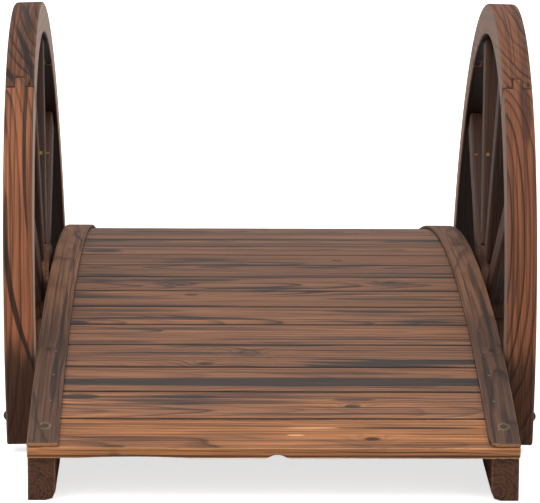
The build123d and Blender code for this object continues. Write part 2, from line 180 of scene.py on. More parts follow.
def add(tree: Tree, kind: Kind, *values: object, links: Optional[dict] = None,
        **settings: object) -> Optional[Socket]:
    """Add one node to a tree with its settings and incoming links.

    Args:
        tree: node tree that receives the node.
        kind: which node, and which of its sockets are used.
        values: sockets to link or plain values to set, in the order of the kind's inputs.
        links: the same for further inputs, by name.
        settings: attributes of the node itself.

    Returns:
        The output that this kind is used for, or None for a node that closes a tree.
    """
    type_name, fixed, inputs, output = kind.value
    node = tree.nodes.new(type_name)
    for name, value in {**fixed, **settings}.items():
        setattr(node, name, value)
    for key, value in (*zip(inputs, values), *(links or {}).items()):
        if isinstance(value, Socket):
            tree.links.new(value, node.inputs[key])
        else:
            node.inputs[key].default_value = value
    return None if output is None else node.outputs[output]


def empty_material(name: str) -> bpy.types.Material:
    """New material whose node tree is empty.

    Args:
        name: name of the material.

    Returns:
        The material, with nodes switched on.
    """
    skin = bpy.data.materials.new(name)
    skin.use_nodes = True
    skin.node_tree.nodes.clear()
    return skin


# ---------------------------------------------------------------- finishes
@dataclass(frozen=True)
class Knot:
    """A branch stub that runs through a board: its place on the face and its radius, in mm."""

    along: float
    across: float
    radius: float = 5.0
    core: float = 0.92


@dataclass(frozen=True)
class Streak:
    """A long mark that follows the grain, as the flame or a brush left it, in mm.

    A depth above 0 is charcoal; below 0 it is bare wood. On a felloe or a front edge across is
    measured through the board, with axis 2. slope and bend curve the mark as a growth ring does.
    """

    along: float
    across: float
    half_length: float
    half_width: float
    depth: float = 0.85
    axis: int = 1
    slope: float = 0.0
    bend: float = 0.0


@dataclass(frozen=True)
class Cut:
    """How one board was sawn from its log and how hard it was torched.

    pith_across and pith_deep give the log's centre from the board's own centre line, in mm.
    taper is how fast the rings close in along the board.
    """

    seed: float = 0.0
    pith_across: float = 18.0
    pith_deep: float = -46.0
    tone: float = 1.0
    char: float = 0.35
    glow: float = 0.25
    taper: float = 0.035
    knots: tuple[Knot, ...] = ()
    streaks: tuple[Streak, ...] = ()


@dataclass(frozen=True)
class TorchedFir:
    """Fir boards scorched with a gas torch, wire brushed and given one coat of brown outdoor stain.

    To the eye: pale earlywood turned tan to red-brown, hard dark latewood lines that stand proud,
    soft charcoal streaks along the grain and a low satin sheen. IOR of a thin oil stain is about 1.47.
    Fir grows rings of 2 to 5 mm, and ring_mm starts from that.
    The inward amount darkens faces that look in towards a wheel's centre, and the border amount darkens
    narrow side faces, both as painted shade. flank greys the side faces with a painted grazing sheen and a
    real sheen, and the edge wear amount lightens eased edges, partly as wear and partly as painted highlight.
    """

    name: str
    early: str = "#84573b"
    late: str = "#2e1c14"
    scorch: str = "#231d1b"
    honey: str = "#a96f43"
    worn: str = "#b08a68"
    ends: str = "#33211a"
    sheen_grey: str = "#86766c"
    painted_underside_shade: str = "#0e0907"
    painted_side_shade: str = "#120c09"
    painted_gap_shade: str = "#1a110d"
    ring_mm: float = 3.4
    ring_strength: float = 0.95
    wander_mm: float = 6.0
    least_ring: float = 0.2
    soot: float = 1.0
    hair: float = 1.0
    roughness: float = 0.62
    ior: float = 1.47
    specular: float = 0.2
    relief_mm: float = 0.4
    relief_strength: float = 0.9
    sheen_roughness: float = 0.35
    inward: float = 0.0
    flank: float = 0.0
    painted_sheen_share: float = 0.35
    border: float = 0.0
    edge_wear_and_highlight: float = 0.35
    seam: float = 0.0
    seam_mm: float = 35.95
    seam_reach_mm: Spacing = (4.4, 1.0)
    ring_shape: tuple[Spacing, ...] = ((0.0, 0.0), (0.5, 0.08), (0.74, 0.6), (0.88, 1.0), (0.97, 0.2))
    slot: str = "plank"

    def material(self, label: str, cut: Cut) -> bpy.types.Material:
        """Build the material of one board.

        Args:
            label: name of the piece that wears it.
            cut: how that board was sawn and torched.

        Returns:
            A node material that reads the board's own grain coordinates in mm.
        """
        skin = empty_material(f"{self.name}_{label}")
        tree = skin.node_tree
        grain = add(tree, Kind.VECTOR_ATTRIBUTE, attribute_name="grain")
        board = add(tree, Kind.VECTOR_ATTRIBUTE, attribute_name="board")
        facing = add(tree, Kind.VECTOR_ATTRIBUTE, attribute_name="facing")
        edge = add(tree, Kind.NUMBER_ATTRIBUTE, attribute_name="edge")
        rings, cores = self._rings(tree, grain, cut)
        late = self._latewood(tree, rings, cut)
        fibre = self._noise(tree, board, cut, Pattern.FIBRE)
        tongues = self._noise(tree, board, cut, Pattern.TONGUE)
        colour = self._wood(tree, board, cut, late, tongues, cores)
        size = add(tree, Kind.ABSOLUTE, facing)
        towards = add(tree, Kind.SPLIT, size).node.outputs
        flanks = add(tree, Kind.SMOOTH_STEP, towards[2], *FLANK_LIMITS, 0.0, self.flank)
        colour = self._weather(tree, cut, colour, facing, towards, edge, fibre)
        # Side faces are blended towards grey: a painted grazing sheen.
        grazing_sheen = add(tree, Kind.MULTIPLY, flanks, self.painted_sheen_share)
        colour = add(tree, Kind.BLEND, grazing_sheen, colour, linear(self.sheen_grey))
        # painted shade along the long edges of the top face, where the gaps are
        colour = self._seams(tree, colour, board, towards[2])
        rough = add(tree, Kind.MULTIPLY_ADD, tongues, SOOT_GLOSS[0], self.roughness + SOOT_GLOSS[1])
        lift = add(tree, Kind.MULTIPLY_ADD, fibre, FIBRE_RELIEF, late)
        bump = add(tree, Kind.BUMP, lift, self.relief_strength, self.relief_mm * MM)
        shader = add(tree, Kind.SHADER, links={
            "Base Color": colour, "Roughness": rough, "Normal": bump, "IOR": self.ior,
            "Specular IOR Level": self.specular, "Sheen Weight": flanks if self.flank else 0.0,
            "Sheen Roughness": self.sheen_roughness, "Sheen Tint": linear(self.sheen_grey),
        })
        add(tree, Kind.SURFACE, shader)
        return skin

    def _noise(self, tree: Tree, grain: Socket, cut: Cut, pattern: Pattern) -> Socket:
        """Noise whose blobs have the pattern's size along, across and through the board.

        Args:
            tree: node tree of the material.
            grain: coordinates that the noise is read at, in mm.
            cut: how that board was sawn and torched.
            pattern: which layer of noise.

        Returns:
            The noise, mostly between 0.3 and 0.7.
        """
        size_mm, detail, layer = pattern.value
        steps = zip(SEED_SHIFT, LAYER_SHIFT)
        shift = tuple(cut.seed * by_seed + layer * by_layer for by_seed, by_layer in steps)
        moved = add(tree, Kind.ADD_VECTORS, grain, shift)
        scaled = add(tree, Kind.SCALE_EACH, moved, tuple(1.0 / size for size in size_mm))
        return add(tree, Kind.NOISE, scaled, 1.0, detail, NOISE_ROUGHNESS)

    def _reach(self, tree: Tree, grain: Socket, knot: Knot) -> Socket:
        """Distance from the middle of a knot, as a share of its half sizes.

        Args:
            tree: node tree of the material.
            grain: the board's grain coordinates, in mm.
            knot: the knot.

        Returns:
            A share that is 1 at the knot's edge.
        """
        away = add(tree, Kind.SUBTRACT_VECTORS, grain, (knot.along, knot.across, 0.0))
        scale = (1.0 / (KNOT_LENGTH * knot.radius), 1.0 / knot.radius, 0.0)
        return add(tree, Kind.LENGTH, add(tree, Kind.SCALE_EACH, away, scale))

    def _mark(self, tree: Tree, board: Socket, mark: Streak) -> Socket:
        """Distance from a streak's bent middle line, as a share of its half sizes.

        Args:
            tree: node tree of the material.
            board: the board's own coordinates, in mm.
            mark: the streak.

        Returns:
            A share that is 1 at the streak's edge.
        """
        place = add(tree, Kind.SPLIT, board).node.outputs
        along = add(tree, Kind.SUBTRACT, place[0], mark.along)
        sag = add(tree, Kind.MULTIPLY, along, add(tree, Kind.MULTIPLY_ADD, along, mark.bend, -mark.slope))
        across = add(tree, Kind.ADD, add(tree, Kind.SUBTRACT, place[mark.axis], mark.across), sag)
        length_share = add(tree, Kind.DIVIDE, along, mark.half_length)
        width_share = add(tree, Kind.DIVIDE, across, mark.half_width)
        return add(tree, Kind.LENGTH, add(tree, Kind.JOIN, length_share, width_share, 0.0))

    def _rings(self, tree: Tree, grain: Socket, cut: Cut) -> tuple[Socket, object]:
        """Count growth rings from the pith, with taper, wander and knots.

        Args:
            tree: node tree of the material.
            grain: straight board coordinates, in mm.
            cut: how the board was sawn.

        Returns:
            The ring count and the darkness of the knot cores.
        """
        centre = (0.0, cut.pith_across, cut.pith_deep)
        offset = add(tree, Kind.SUBTRACT_VECTORS, grain, centre)
        radius = add(tree, Kind.LENGTH, add(tree, Kind.SCALE_EACH, offset, (0.0, 1.0, 1.0)))
        along = add(tree, Kind.SPLIT, grain)
        radius = add(tree, Kind.MULTIPLY_ADD, along, cut.taper, radius)
        wander = self._noise(tree, grain, cut, Pattern.WANDER)
        total = add(tree, Kind.MULTIPLY_ADD, wander, 2 * self.wander_mm, radius)
        cores: object = 0.0
        for knot in cut.knots:
            reach = self._reach(tree, grain, knot)
            spread = add(tree, Kind.MULTIPLY_ADD, add(tree, Kind.MULTIPLY, reach, reach), 0.5, 1.0)
            total = add(tree, Kind.ADD, total, add(tree, Kind.DIVIDE, knot.radius * KNOT_LIFT, spread))
            core = add(tree, Kind.SMOOTH_STEP, reach, *KNOT_LIMITS, 0.0, knot.core)
            cores = add(tree, Kind.MAXIMUM, core, cores)
        return add(tree, Kind.DIVIDE, total, self.ring_mm), cores

    def _latewood(self, tree: Tree, rings: Socket, cut: Cut) -> Socket:
        """Dark late growth of each ring, stronger in some years than in others.

        Args:
            tree: node tree of the material.
            rings: ring count from the pith.
            cut: how that board was sawn and torched.

        Returns:
            Darkness from 0 to 1.
        """
        years = add(tree, Kind.ADD, rings, cut.seed * YEARS_PER_SEED)
        weather = add(tree, Kind.YEAR_NOISE, add(tree, Kind.FLOOR, years))
        shade = add(tree, Kind.RAMP, add(tree, Kind.FRACTION, years))
        ramp = shade.node.color_ramp
        ramp.interpolation = "EASE"
        while len(ramp.elements) < len(self.ring_shape):
            ramp.elements.new(0.5)
        for stop, (place, value) in zip(ramp.elements, self.ring_shape):
            stop.position = place
            stop.color = (value, value, value, 1.0)
        strength = add(tree, Kind.MULTIPLY_ADD, weather, 1.0 - self.least_ring, self.least_ring)
        return add(tree, Kind.MULTIPLY, shade, strength)

    def _wood(self, tree: Tree, board: Socket, cut: Cut, late: Socket, tongues: Socket,
              cores: object) -> Socket:
        """Combine growth rings, honey patches, stain, scorch, knots and the named streaks.

        Args:
            tree: node tree of the material.
            board: the board's own coordinates, in mm.
            cut: how that board was sawn and torched.
            late: darkness of the late growth.
            tongues: noise of the soot tongues.
            cores: darkness of the knot cores.

        Returns:
            The colour of the wood.
        """
        cloud = self._noise(tree, board, cut, Pattern.CLOUD)
        warmth = self._noise(tree, board, cut, Pattern.WARMTH)
        hairs = self._noise(tree, board, cut, Pattern.HAIR)
        rings = add(tree, Kind.MULTIPLY, late, self.ring_strength)
        from_honey = [limit - GLOW_GAIN * cut.glow for limit in HONEY_LIMITS]
        from_burnt = [limit - CHAR_GAIN * cut.char for limit in BURNT_LIMITS]
        honey = add(tree, Kind.SMOOTH_STEP, warmth, *from_honey, 0.0, HONEY_STRENGTH)
        honey = add(tree, Kind.MULTIPLY, honey, add(tree, Kind.SUBTRACT, 1.0, rings))
        sooty = add(tree, Kind.SMOOTH_STEP, tongues, *TONGUE_LIMITS, 0.0, TONGUE_STRENGTH * self.soot)
        hairy = add(tree, Kind.SMOOTH_STEP, hairs, *HAIR_LIMITS, 0.0, HAIR_STRENGTH * self.hair)
        burnt = add(tree, Kind.MULTIPLY_ADD, late, LATE_IN_BURNT, cloud)
        burnt = add(tree, Kind.MULTIPLY_ADD, tongues, TONGUES_IN_BURNT, burnt)
        burnt = add(tree, Kind.SMOOTH_STEP, burnt, *from_burnt, 0.0, BURNT_STRENGTH * self.soot)
        coats = [(honey, self.honey), (sooty, self.late), (hairy, self.late), (burnt, self.scorch)]
        for mark in cut.streaks:
            away = add(tree, Kind.SUBTRACT, self._mark(tree, board, mark), MARK_CENTRE)
            ragged = add(tree, Kind.MULTIPLY_ADD, tongues, MARK_RAGGED, away)
            amount = add(tree, Kind.SMOOTH_STEP, ragged, *MARK_LIMITS, 0.0, abs(mark.depth))
            coats.append((amount, self.scorch if mark.depth > 0 else self.worn))
        coats.append((cores, self.scorch))
        base = add(tree, Kind.BLEND, rings, linear(self.early), linear(self.late))
        for amount, colour in coats:
            base = add(tree, Kind.BLEND, amount, base, linear(colour))
        return base

    def _seams(self, tree: Tree, base: Socket, board: Socket, top: Socket) -> Socket:
        """Painted shade in the gaps, along the long edges of a board's upward face; seam is its strength.

        Args:
            tree: node tree of the material.
            base: colour below the painted shade.
            board: the board's own coordinates, in mm.
            top: how far the surface faces up or down.

        Returns:
            The colour with its painted shade.
        """
        size = add(tree, Kind.ABSOLUTE, board)
        across = add(tree, Kind.SPLIT, size).node.outputs[1]
        begin, end = (self.seam_mm - reach for reach in self.seam_reach_mm)
        gap_shade_share = add(tree, Kind.SMOOTH_STEP, across, begin, end, 0.0, self.seam)
        return add(tree, Kind.BLEND, add(tree, Kind.MULTIPLY, gap_shade_share, top), base, linear(self.painted_gap_shade))

    def _weather(self, tree: Tree, cut: Cut, base: Socket, facing: Socket, towards: list, edge: Socket,
                 fibre: Socket) -> Socket:
        """Add what depends on which way the surface faces: end grain, painted shade on inward and narrow side
        faces, and pale edges that are partly wear and partly painted highlight.

        Args:
            tree: node tree of the material.
            cut: how that board was sawn and torched.
            base: colour of the wood.
            facing: the surface's direction in the board.
            towards: how far the surface faces along, across and through the board.
            edge: how near the surface is to an edge.
            fibre: noise of the brushed fibres.

        Returns:
            The weathered colour.
        """
        across = add(tree, Kind.SPLIT, facing).node.outputs[1]
        coats = (
            (add(tree, Kind.SMOOTH_STEP, towards[0], *END_LIMITS, 0.0, END_STRENGTH), self.ends),
            # painted shade on faces that look in towards the wheel's centre, the rim's inner underside
            (add(tree, Kind.SMOOTH_STEP, across, *INWARD_LIMITS, 0.0, self.inward), self.painted_underside_shade),
            # painted shade on narrow side faces: in the gaps between planks, beside the strips and on the
            # spokes
            (add(tree, Kind.SMOOTH_STEP, towards[1], *BORDER_LIMITS, 0.0, self.border), self.painted_side_shade),
            # pale eased edges: real wear on the deck, partly painted highlight on rims and spokes
            (add(tree, Kind.MULTIPLY, edge, self.edge_wear_and_highlight), self.worn),
        )
        for amount, colour in coats:
            base = add(tree, Kind.BLEND, amount, base, linear(colour))
        value = add(tree, Kind.MULTIPLY, add(tree, Kind.MULTIPLY_ADD, fibre, *FIBRE_TONE), cut.tone)
        return add(tree, Kind.TONE, base, value)


@dataclass(frozen=True)
class Steel:
    """Turned or forged steel fastener with a thin coating, seen as small dulled highlights.

    Zinc plate is bright and slightly mottled; black e-coat is darker and smoother. Metals keep IOR 1.5.
    """

    name: str
    tint: str
    shade: str
    roughness: float
    metallic: float = 1.0
    mottle_mm: float = 1.6
    mottle_detail: float = 3.0
    mottle_roughness: float = 0.2

    def material(self) -> bpy.types.Material:
        """Mottled coating whose patches are about mottle_mm wide.

        Returns:
            The material of the coating.
        """
        skin = empty_material(self.name)
        tree = skin.node_tree
        spot = add(tree, Kind.OBJECT_PLACE)
        mottle = add(tree, Kind.NOISE, spot, 1.0 / (self.mottle_mm * MM), self.mottle_detail)
        colour = add(tree, Kind.BLEND, mottle, linear(self.tint), linear(self.shade))
        rough = add(tree, Kind.MULTIPLY_ADD, mottle, self.mottle_roughness, self.roughness)
        links = {"Base Color": colour, "Roughness": rough, "Metallic": self.metallic}
        add(tree, Kind.SURFACE, add(tree, Kind.SHADER, links=links))
        return skin


# ---------------------------------------------------------------- board meshes
def lines(low: float, high: float, step: float, guard: float) -> list[float]:
    """Grid lines between two faces, with one guard line close to each face.

    Args:
        low: first face.
        high: second face.
        step: largest distance between lines, in mm.
        guard: distance of the guard lines from the faces, in mm.

    Returns:
        Positions from low to high.
    """
    inner_low, inner_high = low + guard, high - guard
    if inner_high - inner_low < guard:
        return [low, (low + high) / 2, high]
    count = max(1, math.ceil((inner_high - inner_low) / step))
    inner = [inner_low + (inner_high - inner_low) * i / count for i in range(count + 1)]
    return [low, *inner, high]


def block_mesh(along: list[float], across: list[float], through: list[float],
               solid: Callable[[float, float, float], bool]) -> bmesh.types.BMesh:
    """Closed quad shell around the solid cells of a block grid, in mm.

    Args:
        along: grid lines along the board.
        across: grid lines across the board.
        through: grid lines through its thickness.
        solid: tells whether the cell around a point is wood.

    Returns:
        A new mesh whose faces look outward.
    """
    axes = (along, across, through)
    counts = [len(axis) - 1 for axis in axes]
    middles = [[(axis[i] + axis[i + 1]) / 2 for i in range(len(axis) - 1)] for axis in axes]
    full = np.zeros([count + 2 for count in counts], bool)
    for i, s in enumerate(middles[0]):
        for j, u in enumerate(middles[1]):
            for k, v in enumerate(middles[2]):
                full[i + 1, j + 1, k + 1] = solid(s, u, v)
    mesh = bmesh.new()
    made: dict = {}

    def corner(key: tuple) -> bmesh.types.BMVert:
        """Vertex at a grid crossing, made once.

        Args:
            key: numbers of the three grid lines.

        Returns:
            The vertex.
        """
        if key not in made:
            made[key] = mesh.verts.new((along[key[0]], across[key[1]], through[key[2]]))
        return made[key]

    for axis in range(3):
        one, two = [other for other in range(3) if other != axis]
        for sign in (-1, 1):
            open_side = full & ~np.roll(full, -sign, axis)
            for cell in np.argwhere(open_side):
                base = cell - 1
                base[axis] += 1 if sign > 0 else 0
                loop = []
                for step_one, step_two in ((0, 0), (1, 0), (1, 1), (0, 1)):
                    key = base.copy()
                    key[one] += step_one
                    key[two] += step_two
                    loop.append(corner(tuple(int(value) for value in key)))
                flip = (sign > 0) == (axis == 1)
                mesh.faces.new(loop[::-1] if flip else loop)
    bmesh.ops.recalc_face_normals(mesh, faces=mesh.faces)
    return mesh


def ease_edges(mesh: bmesh.types.BMesh, width: float, segments: int) -> None:
    """Round every sharp edge of a mesh by a width in mm.

    Args:
        mesh: mesh to change.
        width: how far the rounding reaches from the edge.
        segments: faces across the rounding.
    """
    least = math.radians(SHARP_DEGREES)
    sharp = [e for e in mesh.edges if len(e.link_faces) == 2 and e.calc_face_angle() > least]
    bmesh.ops.bevel(mesh, geom=sharp, offset=width, segments=segments, profile=0.5,
                    affect="EDGES", clamp_overlap=True)


@dataclass(frozen=True)
class Chip:
    """A place where wood is gone: its centre, its reach on each axis and how far it is pushed in, in mm."""

    centre: Size
    reach: Size
    push: Size


@dataclass(frozen=True)
class Wear:
    """Hand wear and brushing: how far wood has gone from faces and edges, in mm."""

    face: float = 0.25
    edge: float = 0.7
    size: float = 26.0
    ease: float = 1.4
    segments: int = 2
    chips: tuple[Chip, ...] = ()


def finish_board(name: str, mesh: bmesh.types.BMesh, place: Place, grain_of: Place, wear: Wear,
                 seed: float) -> bpy.types.Object:
    """Ease, wear, place and tag one board.

    Args:
        name: name of the new object.
        mesh: block mesh in the board's own mm.
        place: board mm to world metres.
        grain_of: board mm to grain mm, for the rings.
        wear: how worn the board is.
        seed: shift of its noise.

    Returns:
        The finished object, riding on the bridge.
    """
    ease_edges(mesh, wear.ease, wear.segments)
    mesh.normal_update()
    count = len(mesh.verts)
    points = np.empty((count, 3))
    normals = np.empty((count, 3))
    sharp = np.zeros(count)
    for index, vert in enumerate(mesh.verts):
        points[index] = vert.co
        normals[index] = vert.normal
        spread = max(abs(c) for c in vert.normal)
        sharp[index] = min(1.0, (1.0 - spread) * EDGE_GAIN)
    for index in range(count):
        spot = Vector(points[index]) / wear.size + Vector([seed * step for step in WEAR_SEED_STEP])
        spot.x *= WEAR_ALONG
        broad = 0.5 + 0.5 * noise.noise(spot)
        fine = max(0.0, noise.noise(spot * FINE_WEAR))
        depth = wear.face * broad + wear.edge * sharp[index] * fine
        points[index] -= normals[index] * depth
    for chip in wear.chips:
        share = np.linalg.norm((points - chip.centre) / chip.reach, axis=1)
        points += np.outer(np.clip(1.0 - share ** 2, 0.0, 1.0), chip.push)
    world = place(points)
    data = bpy.data.meshes.new(name)
    mesh.verts.index_update()
    faces = [[vert.index for vert in face.verts] for face in mesh.faces]
    mesh.free()
    data.from_pydata(world.tolist(), [], faces)
    layers = (("grain", "FLOAT_VECTOR", grain_of(points)), ("board", "FLOAT_VECTOR", points),
              ("facing", "FLOAT_VECTOR", normals), ("edge", "FLOAT", sharp))
    for label, kind, values in layers:
        layer = data.attributes.new(label, kind, "POINT")
        member = "vector" if kind == "FLOAT_VECTOR" else "value"
        layer.data.foreach_set(member, np.ravel(values).astype(np.float32))
    data.update()
    check = bmesh.new()
    check.from_mesh(data)
    bmesh.ops.recalc_face_normals(check, faces=check.faces)
    check.to_mesh(data)
    check.free()
    data.shade_smooth()
    piece = bpy.data.objects.new(name, data)
    bpy.context.scene.collection.objects.link(piece)
    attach(piece, BODY)
    return piece


def dress(piece: bpy.types.Object, node: str, finish: TorchedFir, cut: Cut) -> None:
    """Give a wooden piece its material and hide the CAD node that it stands for.

    Args:
        piece: the finished board.
        node: name of the CAD node.
        finish: what it is finished with.
        cut: how that board was sawn and torched.
    """
    piece.data.materials.append(finish.material(node, cut))
    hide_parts(node)
    LOG.info("%s: %d faces, %s", piece.name, len(piece.data.polygons), finish.name)


def everywhere(*_: float) -> bool:
    """Every cell of a plain block is wood."""
    return True


# ---------------------------------------------------------------- deck
@dataclass
class Arch:
    """The arc that the walkway follows, in mm."""

    length: float = 1367.0
    rise: float = 83.0
    end_height: float = 60.0

    @property
    def radius(self) -> float:
        """Radius of the walking surface."""
        return ((self.length / 2) ** 2 + self.rise ** 2) / (2 * self.rise)

    @property
    def centre_z(self) -> float:
        """Height of the arc's centre, far below ground."""
        return self.end_height + self.rise - self.radius

    @property
    def end_angle(self) -> float:
        """Angle of the deck's ends from the crown, in radians."""
        return math.asin(self.length / 2 / self.radius)

    def bend(self, points: Points, radius: float) -> Points:
        """Wrap (arc length, X, height above radius) points around the arc, in metres.

        Args:
            points: places in mm.
            radius: radius that a height of 0 stands for, in mm.

        Returns:
            World places, in metres.
        """
        angle = points[:, 0] / radius
        reach = radius + points[:, 2]
        y = reach * np.sin(angle)
        z = self.centre_z + reach * np.cos(angle)
        return np.column_stack((points[:, 1], y, z)) * MM

    def flat(self, points: Points, angle: float) -> Points:
        """Lay (X, across, depth) points on a flat board square to the arc at an angle, in metres.

        Args:
            points: places in mm.
            angle: angle of the board from the crown, in radians.

        Returns:
            World places, in metres.
        """
        sine, cosine = math.sin(angle), math.cos(angle)
        y = self.radius * sine + points[:, 1] * cosine + points[:, 2] * sine
        z = self.centre_z + self.radius * cosine - points[:, 1] * sine + points[:, 2] * cosine
        return np.column_stack((points[:, 0], y, z)) * MM


@dataclass
class Deck:
    """Planks laid across the stringers, with a thin bent strip over their ends."""

    arch: Arch = field(default_factory=Arch)
    width: float = 529.0
    thickness: float = 13.0
    plank_width: float = 71.9
    plank_gap: float = 0.8
    strip_width: float = 34.0
    strip_thickness: float = 4.8
    strip_setback: float = 1.5
    strip_lift: float = 0.02
    screw_distance: float = 42.0
    screw_offset: float = 1.5
    grid: float = 11.0
    front_grid: float = 4.0
    guard: float = 3.0
    strip_grid: tuple[Spacing, Spacing] = ((14.0, 3.0), (8.0, 2.5))
    front_wear: Wear = Wear(edge=2.6, size=9.0, chips=(
        Chip((4.0, -36.0, -13.0), (11.0, 9.0, 5.0), (0.0, 1.5, 3.4)),
        Chip((-150.0, -36.0, -13.0), (60.0, 6.0, 3.0), (0.0, 1.0, 1.2)),
        Chip((-258.0, -36.0, 0.0), (14.0, 6.0, 5.0), (1.0, 1.6, -1.2))))
    strip_wear: Wear = Wear(face=0.15, edge=0.6, size=24.0, ease=1.3)
    # Deck planks: a satin coat of stain on their faces, and painted shade in the gaps between them, on their
    # side faces and along the long edges of their tops.
    finish: TorchedFir = TorchedFir("torched_fir_plank", specular=0.32, border=0.88, edge_wear_and_highlight=0.0, seam=0.75)
    # The first and last planks: their outer edges show, brushed down to pale wood by feet and weather.
    end_finish: TorchedFir = TorchedFir(
        "torched_fir_end_plank", worn="#c99368", edge_wear_and_highlight=0.75, soot=0.8, hair=0.8)
    # Edge strips: thin lath, greyer and duller than the planks, with close rings, light end grain and painted
    # shade on their narrow side faces.
    strip_finish: TorchedFir = TorchedFir(
        "torched_fir_strip", specular=0.16, early="#734f3a", late="#38261c", honey="#8f6245",
        worn="#96745b", ends="#a4704a", ring_mm=2.8, soot=0.6, border=0.5, edge_wear_and_highlight=0.35, slot="strip")

    def plank_cuts(self) -> list[Cut]:
        """One cut for each plank from the front: paler at the front, sooty bands in between.

        Returns:
            The cuts, front plank first.
        """
        marked = [
            Cut(1, -28, -58, 1.05, 0.16, 0.8, 0.02,
                (Knot(106, -13, 5),),
                (Streak(154, 14, 78, 3.2), Streak(190, -1, 48, 2.0, 0.6), Streak(44, 14, 34, 2.0, -0.8),
                 Streak(24, -4, 9, 2.4, -0.7), Streak(-75, 12, 60, 1.6, 0.5), Streak(-171, -32, 13, 3.4, 0.7),
                 Streak(0, -9.6, 700, 1.2, 0.7, 2), Streak(-90, -3.6, 160, 0.8, 0.5, 2),
                 Streak(120, -5.2, 140, 1.0, 0.5, 2))),
            Cut(2, -16, -38, 1.04, 0.26, 0.55, 0.04,
                (Knot(87, -3, 5),),
                (Streak(-212, 22, 26, 8), Streak(-96, 22, 48, 5.5), Streak(90, 15, 24, 3.5, 0.7))),
            Cut(3, 8, -60, 0.98, 0.30, 0.30, 0.03,
                (Knot(-207, -6, 5),),
                (Streak(0, -8, 420, 14, 0.9),)),
            Cut(4, -40, -44, 0.90, 0.52, 0.10, 0.05,
                (Knot(-75, -26, 5), Knot(-26, 5, 11, 0.35))),
            Cut(5, 14, -26, 1.02, 0.26, 0.20, 0.02, (), (Streak(-190, -28, 60, 5, 0.6),)),
            Cut(6, -28, -50, 0.94, 0.42, 0.35, 0.05, (),
                (Streak(-170, 18, 78, 3, 0.8), Streak(-150, 2, 60, 2.5, 0.6), Streak(135, 18, 62, 6, 0.75))),
            Cut(7, 36, -36, 0.98, 0.36, 0.15, 0.03,
                (Knot(-91, 18, 5),),
                (Streak(-150, -33, 110, 5), Streak(140, 0, 75, 6, 0.7))),
            Cut(8, -8, -58, 0.90, 0.42, 0.10, 0.04,
                (Knot(150, 10, 4), Knot(-104, -4, 4)),
                (Streak(-109, 2, 30, 13, 0.5), Streak(152, 4, 32, 13, 0.55))),
            Cut(9, 20, -40, 0.84, 0.46, 0.05, -0.03),
            Cut(10, -30, -34, 0.92, 0.40, 0.10, 0.03,
                (Knot(90, -4, 4),),
                (Streak(-60, 6, 140, 4, 0.7),)),
        ]
        rest = [Cut(n, 30 * math.sin(2.3 * n), -46 + 14 * math.sin(1.7 * n), 0.97 + 0.2 * math.sin(3.1 * n),
                    0.48 + 0.2 * math.sin(2.7 * n), 0.2) for n in range(11, 20)]
        rest[0] = replace(rest[0], streaks=(Streak(-205, -5, 28, 14, 0.8), Streak(-20, 8, 220, 6, 0.6)))
        rest[1] = replace(rest[1], streaks=(Streak(60, -10, 260, 8, 0.6),))
        rest[2] = replace(rest[2], streaks=(Streak(0, -30, 400, 9, 0.85),))
        return marked + rest

    def planks(self) -> None:
        """Build every plank from the front to the back."""
        arch = self.arch
        total = 2 * arch.end_angle * arch.radius
        start = 0.0
        cuts = self.plank_cuts()
        for index, cut in enumerate(cuts):
            width = min(self.plank_width, total - start)
            angle = (start + width / 2) / arch.radius - arch.end_angle
            half = self.width / 2
            front = index == 0
            mesh = block_mesh(
                lines(-half, half, self.front_grid if front else self.grid, self.guard),
                lines(-width / 2, width / 2, self.grid, self.guard),
                lines(-self.thickness, 0.0, self.thickness, self.guard), everywhere)
            node = f"deck_plank_{index + 1:02d}"
            piece = finish_board("worn_" + node, mesh, lambda p, a=angle: arch.flat(p, a),
                                 lambda p: p, self.front_wear if front else Wear(), cut.seed)
            exposed = index in (0, len(cuts) - 1)
            dress(piece, node, self.end_finish if exposed else self.finish, cut)
            start += width + self.plank_gap

    def strips(self) -> None:
        """Build the two bent strips, one mirrored from the other's size but sawn from its own board."""
        arch = self.arch
        radius = math.hypot(arch.radius, self.plank_width / 2) + self.strip_lift
        half_arc = arch.end_angle * radius - self.strip_setback
        middle = self.width / 2 - self.strip_width / 2
        for side in Side:
            mesh = block_mesh(
                lines(-half_arc, half_arc, *self.strip_grid[0]),
                lines(-self.strip_width / 2, self.strip_width / 2, *self.strip_grid[1]),
                [0.0, self.strip_thickness / 2, self.strip_thickness], everywhere)
            screw = (self.screw_distance - half_arc, self.screw_offset)
            screw_ring = Streak(*screw, 9, 7, -0.3)
            screw_pit = Streak(*screw, 6, 4.6, 0.8)
            shaded = (Streak(-half_arc, 0, 420, 60, 0.55), Streak(-520, -6 * side.value, 90, 4, 0.7),
                      Streak(-300, 8, 120, 3, 0.6), screw_ring, screw_pit)
            cut = Cut(40 + side.value, 10 * side.value, -70, 1.10 - 0.06 * side.value, 0.40, 0.12, 0.01,
                      (Knot(-430, 4 * side.value, 3.5),), shaded)
            clip = Chip((-half_arc, -17.0, 2.4), (8.0, 5.0, 12.0), (4.0, 2.0, 0.0))
            chips = (clip,) if side is Side.RIGHT else ()

            def place(p: Points, centre: float = side.value * middle) -> Points:
                """Board mm to the bent place on this side."""
                return arch.bend(p + np.array([0.0, centre, 0.0]), radius)

            node = f"edge_strip_{side.label}"
            wear = replace(self.strip_wear, chips=chips)
            piece = finish_board("bent_" + node, mesh, place, lambda p: p, wear, cut.seed)
            dress(piece, node, self.strip_finish, cut)

    def build(self) -> None:
        """Planks, then strips."""
        self.planks()
        self.strips()


